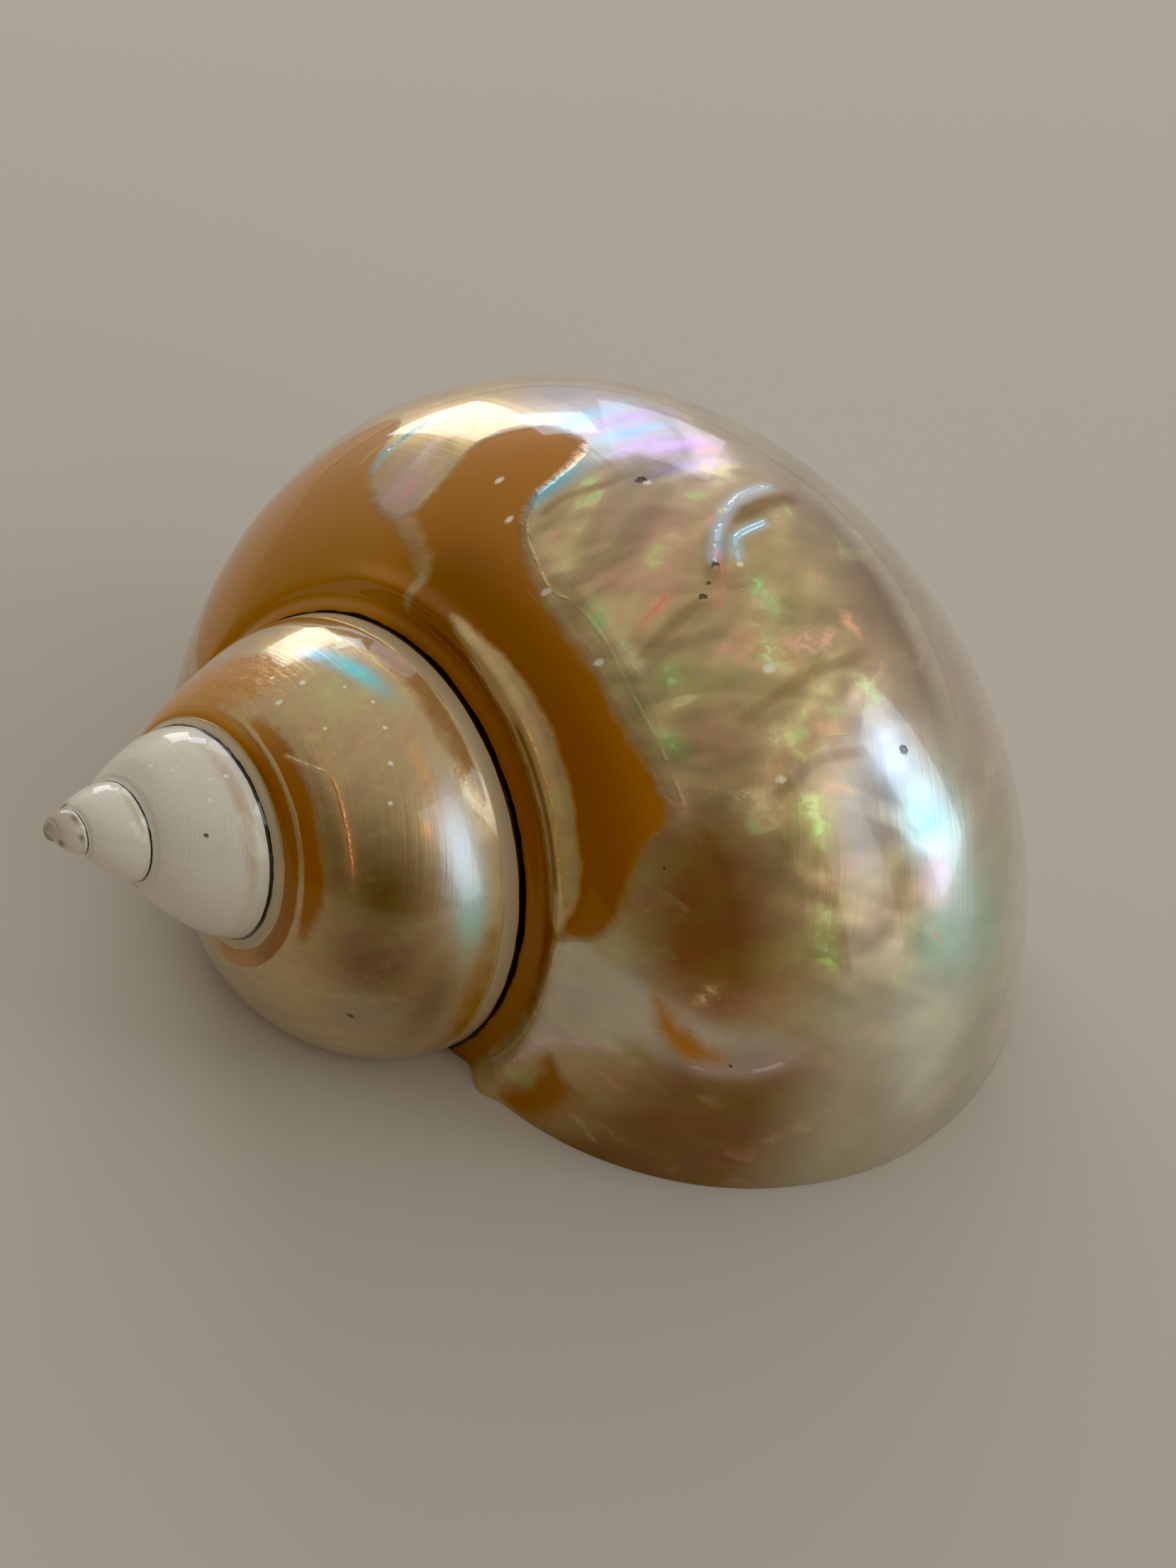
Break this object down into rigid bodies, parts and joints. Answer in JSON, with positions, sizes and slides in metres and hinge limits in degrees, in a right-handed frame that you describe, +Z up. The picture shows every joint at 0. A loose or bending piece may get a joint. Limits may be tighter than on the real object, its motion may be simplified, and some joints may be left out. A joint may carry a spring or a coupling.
{
  "type": "turban shell",
  "caption": "Polished turban seashell lying on its mouth: a low pointed spire on a swollen, hollow last whorl of mother-of-pearl with amber patches.",
  "frame": {"origin": "centre of the footprint's box, on the plane that the shell lies on", "axes": "+Z up from the plane of the mouth's lip; +X towards the last whorl, with the apex at -X; +Y over the shell's back"},
  "size_m": [0.06, 0.0484, 0.033],
  "materials": {
    "nacre": "polished mother-of-pearl with amber patches"
  },
  "bodies": {
    "root": {"turban_shell": "nacre"}
  },
  "joints": []
}
